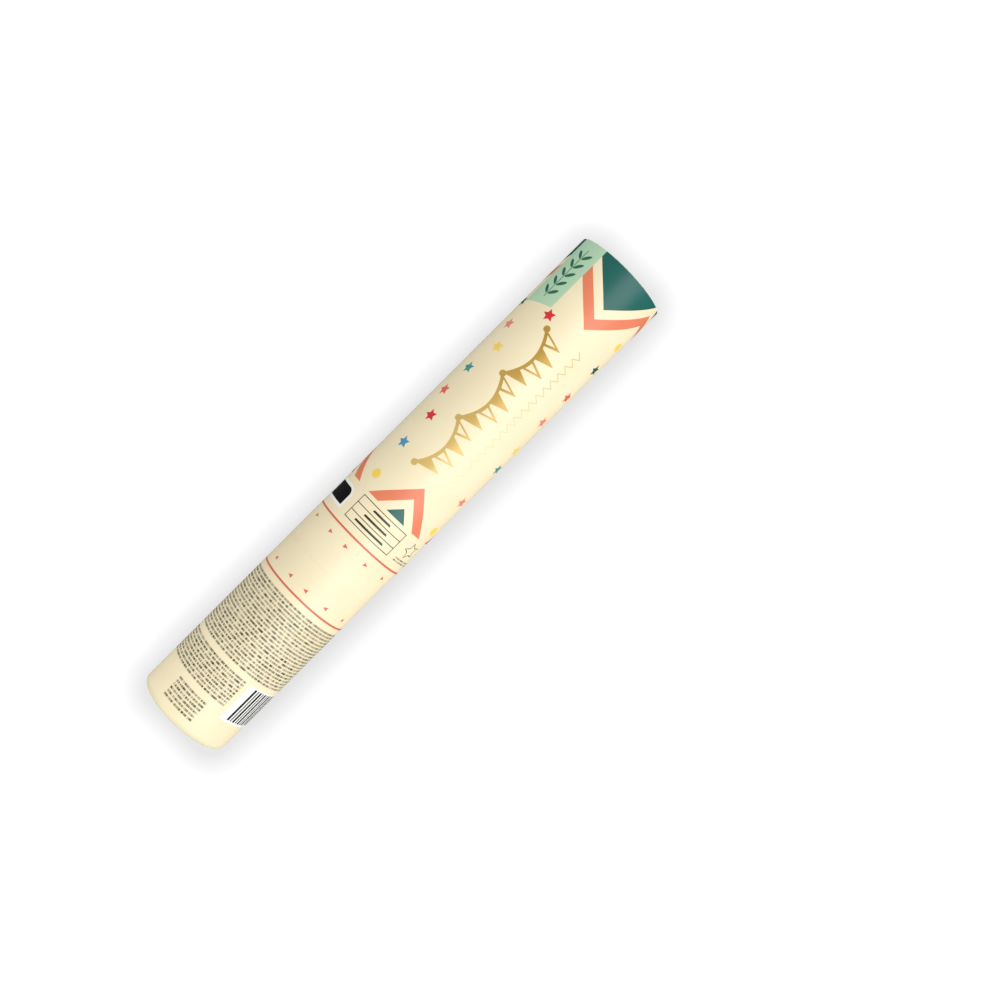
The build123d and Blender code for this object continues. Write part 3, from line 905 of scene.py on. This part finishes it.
def drawn_metal(name, dark, light, rough):
    """Drawn metal: noise stretched along the tube makes fine lines in colour and gloss."""
    finish = Finish(name)
    stretched = finish.steps("MULTIPLY", finish.place(), (60.0, 2400.0, 2400.0))
    lines = finish.noise(stretched, 1.0, 3.0)
    finish.set(Base_Color=finish.blend(finish.span(lines, 0.3, 0.7), dark, light), Metallic=1.0)
    finish.set(Roughness=finish.span(lines, 0.3, 0.7, rough, rough + 0.12))
    finish.set(Normal=finish.relief(lines, 0.1, 0.00002))
    return finish.material


def dull(name, dark, light, grain):
    """Rubber or pressed fibre: speckled and without shine."""
    finish = Finish(name)
    speck = finish.noise(finish.place(), grain, 4.0)
    finish.set(Base_Color=finish.blend(finish.span(speck, 0.35, 0.7), dark, light))
    finish.set(Roughness=finish.span(speck, 0.3, 0.7, 0.7, 0.88), Specular_IOR_Level=0.3)
    finish.set(Normal=finish.relief(speck, 0.2, 0.00005))
    return finish.material


slot_finish = {
    "tube_board": tube_board,
    "grey_board": grey_board,
    "plug_plastic": moulded("plug_plastic", shade(239, 228, 188), shade(244, 233, 195), 0.42),
    "white_plastic": moulded("white_plastic", shade(226, 226, 222), shade(240, 240, 236), 0.45),
    "dark_plastic": moulded("dark_plastic", shade(34, 34, 38), shade(52, 52, 56), 0.4),
    "cartridge_steel": drawn_metal("cartridge_steel", shade(176, 178, 182), shade(214, 216, 219), 0.28),
    "spring_steel": drawn_metal("spring_steel", shade(146, 147, 152), shade(188, 189, 193), 0.24),
    "seal_foil": drawn_metal("seal_foil", shade(204, 205, 207), shade(230, 231, 232), 0.2),
    "black_rubber": dull("black_rubber", shade(22, 22, 23), shade(48, 48, 49), 900.0),
    "fibre": dull("fibre", shade(104, 46, 32), shade(140, 70, 50), 500.0),
}
print(len(slot_finish), "finishes for carried-over parts")

# %% [markdown]
# ## Tissue stars
#
# The barrel is packed with stars cut from tissue in eight colours. In the frame each sheaf is one
# solid star. Here a sheaf becomes three thin leaves with blunt tips that curl up and down by their
# own small amounts, so the heap looks cut and handled. All leaves of one colour in one band are one
# mesh: the star's corners form one axis of an array and the leaves the other.

# %% Tissue stars
layers_per_band = 11
layer_pitch = 3.6
first_layer = 128.625
layer_turn = np.radians(37.0)
ring_radius = 14.2
leaf_radius = 8.4
leaf_waist = 0.52
leaf_thickness = 0.1
leaf_heights = np.array([0.5, 1.5, 2.5])
band_names = ["rear", "mid_rear", "mid_front", "front"]
warm_colours = ["red", "yellow", "blue", "peach"]
cool_colours = ["orange", "green", "mint", "white"]


def leaf_outline():
    """Corners of one star in order: each tip cut blunt by two points, then the waist after it."""
    tip = np.arange(5) * 2 * np.pi / 5
    blunt = np.radians(4.5)
    angle = np.stack([tip - blunt, tip + blunt, tip + np.pi / 5], axis=-1).ravel()
    radius = np.tile([leaf_radius, leaf_radius, leaf_radius * leaf_waist], 5)
    return angle, radius


def star_leaves(name, layers, place, seed):
    """All leaves of one colour in one band of the column.

    A leaf's corner is its outline turned by the layer's turn and its own small twist, moved out from
    the axis to the ring, and turned again to its place in the layer. Tips curl along the tube by a
    random amount and waists by a third of it. Every leaf is a top, a bottom and a rim.
    """
    draw = np.random.default_rng(seed)
    layer = np.repeat(layers, len(leaf_heights))
    leaves = len(layer)
    angle, radius = leaf_outline()
    corners = len(angle)
    twist = layer * layer_turn + draw.uniform(-0.16, 0.16, leaves)
    size = draw.uniform(0.94, 1.0, leaves)
    curl = draw.uniform(-0.42, 0.42, (leaves, 5, 1)) * np.array([1.0, 1.0, 0.33])
    turn = layer * layer_turn + place * np.pi / 2
    local_x = ring_radius + size[:, None] * radius * np.cos(angle + twist[:, None])
    local_y = size[:, None] * radius * np.sin(angle + twist[:, None])
    station = first_layer + layer * layer_pitch + np.tile(leaf_heights, len(layers))

    rim_x = np.concatenate([local_x, np.full((leaves, 1), ring_radius)], axis=1)
    rim_y = np.concatenate([local_y, np.zeros((leaves, 1))], axis=1)
    lift = np.concatenate([curl.reshape(leaves, corners), np.zeros((leaves, 1))], axis=1)
    across = rim_x * np.cos(turn)[:, None] - rim_y * np.sin(turn)[:, None]
    up = rim_x * np.sin(turn)[:, None] + rim_y * np.cos(turn)[:, None]
    side = np.array([leaf_thickness / 2, -leaf_thickness / 2])[None, :, None]
    x = station[:, None, None] + lift[:, None, :] + side - tube_length / 2
    y = np.broadcast_to(across[:, None, :], x.shape)
    z = np.broadcast_to(up[:, None, :], x.shape) + wrap_radius
    points = np.stack([x, y, z], axis=-1) * MM

    count = corners + 1
    this = np.arange(corners)
    following = (this + 1) % corners
    front = np.stack([np.full(corners, corners), this, following], axis=-1)
    rear = count + front[:, ::-1]
    rim = np.stack([this, count + this, count + following, following], axis=-1)
    offset = np.arange(leaves)[:, None, None] * 2 * count
    faces = (front + offset).reshape(-1, 3).tolist() + (rear + offset).reshape(-1, 3).tolist()
    faces += (rim + offset).reshape(-1, 4).tolist()
    return put_in(name, points, faces, 60.0)


def tissue(name, dark, light):
    """Tissue paper: crossed fibres in colour and relief, and a dry soft surface."""
    finish = Finish(name)
    fibres = finish.noise(finish.place(), 1100.0, 5.0)
    crease = finish.noise(finish.place(), 240.0, 2.0)
    tone = finish.sum("MULTIPLY_ADD", crease, 0.5, finish.sum("MULTIPLY", fibres, 0.5))
    finish.set(Base_Color=finish.blend(finish.span(tone, 0.35, 0.65), dark, light))
    finish.set(Roughness=finish.span(fibres, 0.3, 0.7, 0.78, 0.92), Specular_IOR_Level=0.2)
    finish.set(Normal=finish.relief(tone, 0.4, 0.0002))
    return finish.material


tissue_finish = {
    "red": tissue("red_tissue", shade(186, 12, 30), shade(214, 26, 46)),
    "yellow": tissue("yellow_tissue", shade(222, 204, 44), shade(246, 232, 92)),
    "blue": tissue("blue_tissue", shade(122, 172, 212), shade(158, 200, 230)),
    "peach": tissue("peach_tissue", shade(238, 176, 148), shade(252, 204, 182)),
    "orange": tissue("orange_tissue", shade(236, 126, 16), shade(252, 154, 44)),
    "green": tissue("green_tissue", shade(16, 128, 48), shade(44, 166, 84)),
    "mint": tissue("mint_tissue", shade(178, 216, 212), shade(208, 236, 232)),
    "white": tissue("white_tissue", shade(232, 226, 214), shade(248, 244, 236)),
}
leaf_total = 0
for band, band_name in enumerate(band_names):
    band_layers = np.arange(band * layers_per_band, (band + 1) * layers_per_band)
    band_colours = warm_colours if band % 2 == 0 else cool_colours
    for place, colour in enumerate(band_colours):
        leaves = star_leaves(f"{colour}_leaves_{band_name}", band_layers, place, 10 * band + place)
        leaves.data.materials.append(tissue_finish[colour])
        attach(leaves, f"stars_{band_name}")
        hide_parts(f"{colour}_stars_{band_name}")
        leaf_total += layers_per_band * len(leaf_heights)
print(leaf_total, "tissue stars in", len(band_names) * layers_per_band, "layers")

# %% [markdown]
# ## Finishes for the carried-over parts
#
# The remaining CAD parts already have the right shape, so each only takes the finish that its slot in
# the record names.

# %% Dress the CAD parts
dressed = 0
for part in frame["record"]["subparts"]:
    finish = slot_finish.get(part["material_slot"])
    if finish is not None:
        mesh = frame["nodes"][part["node"]].data
        mesh.materials.clear()
        mesh.materials.append(finish)
        dressed += 1
print(dressed, "carried-over parts dressed")
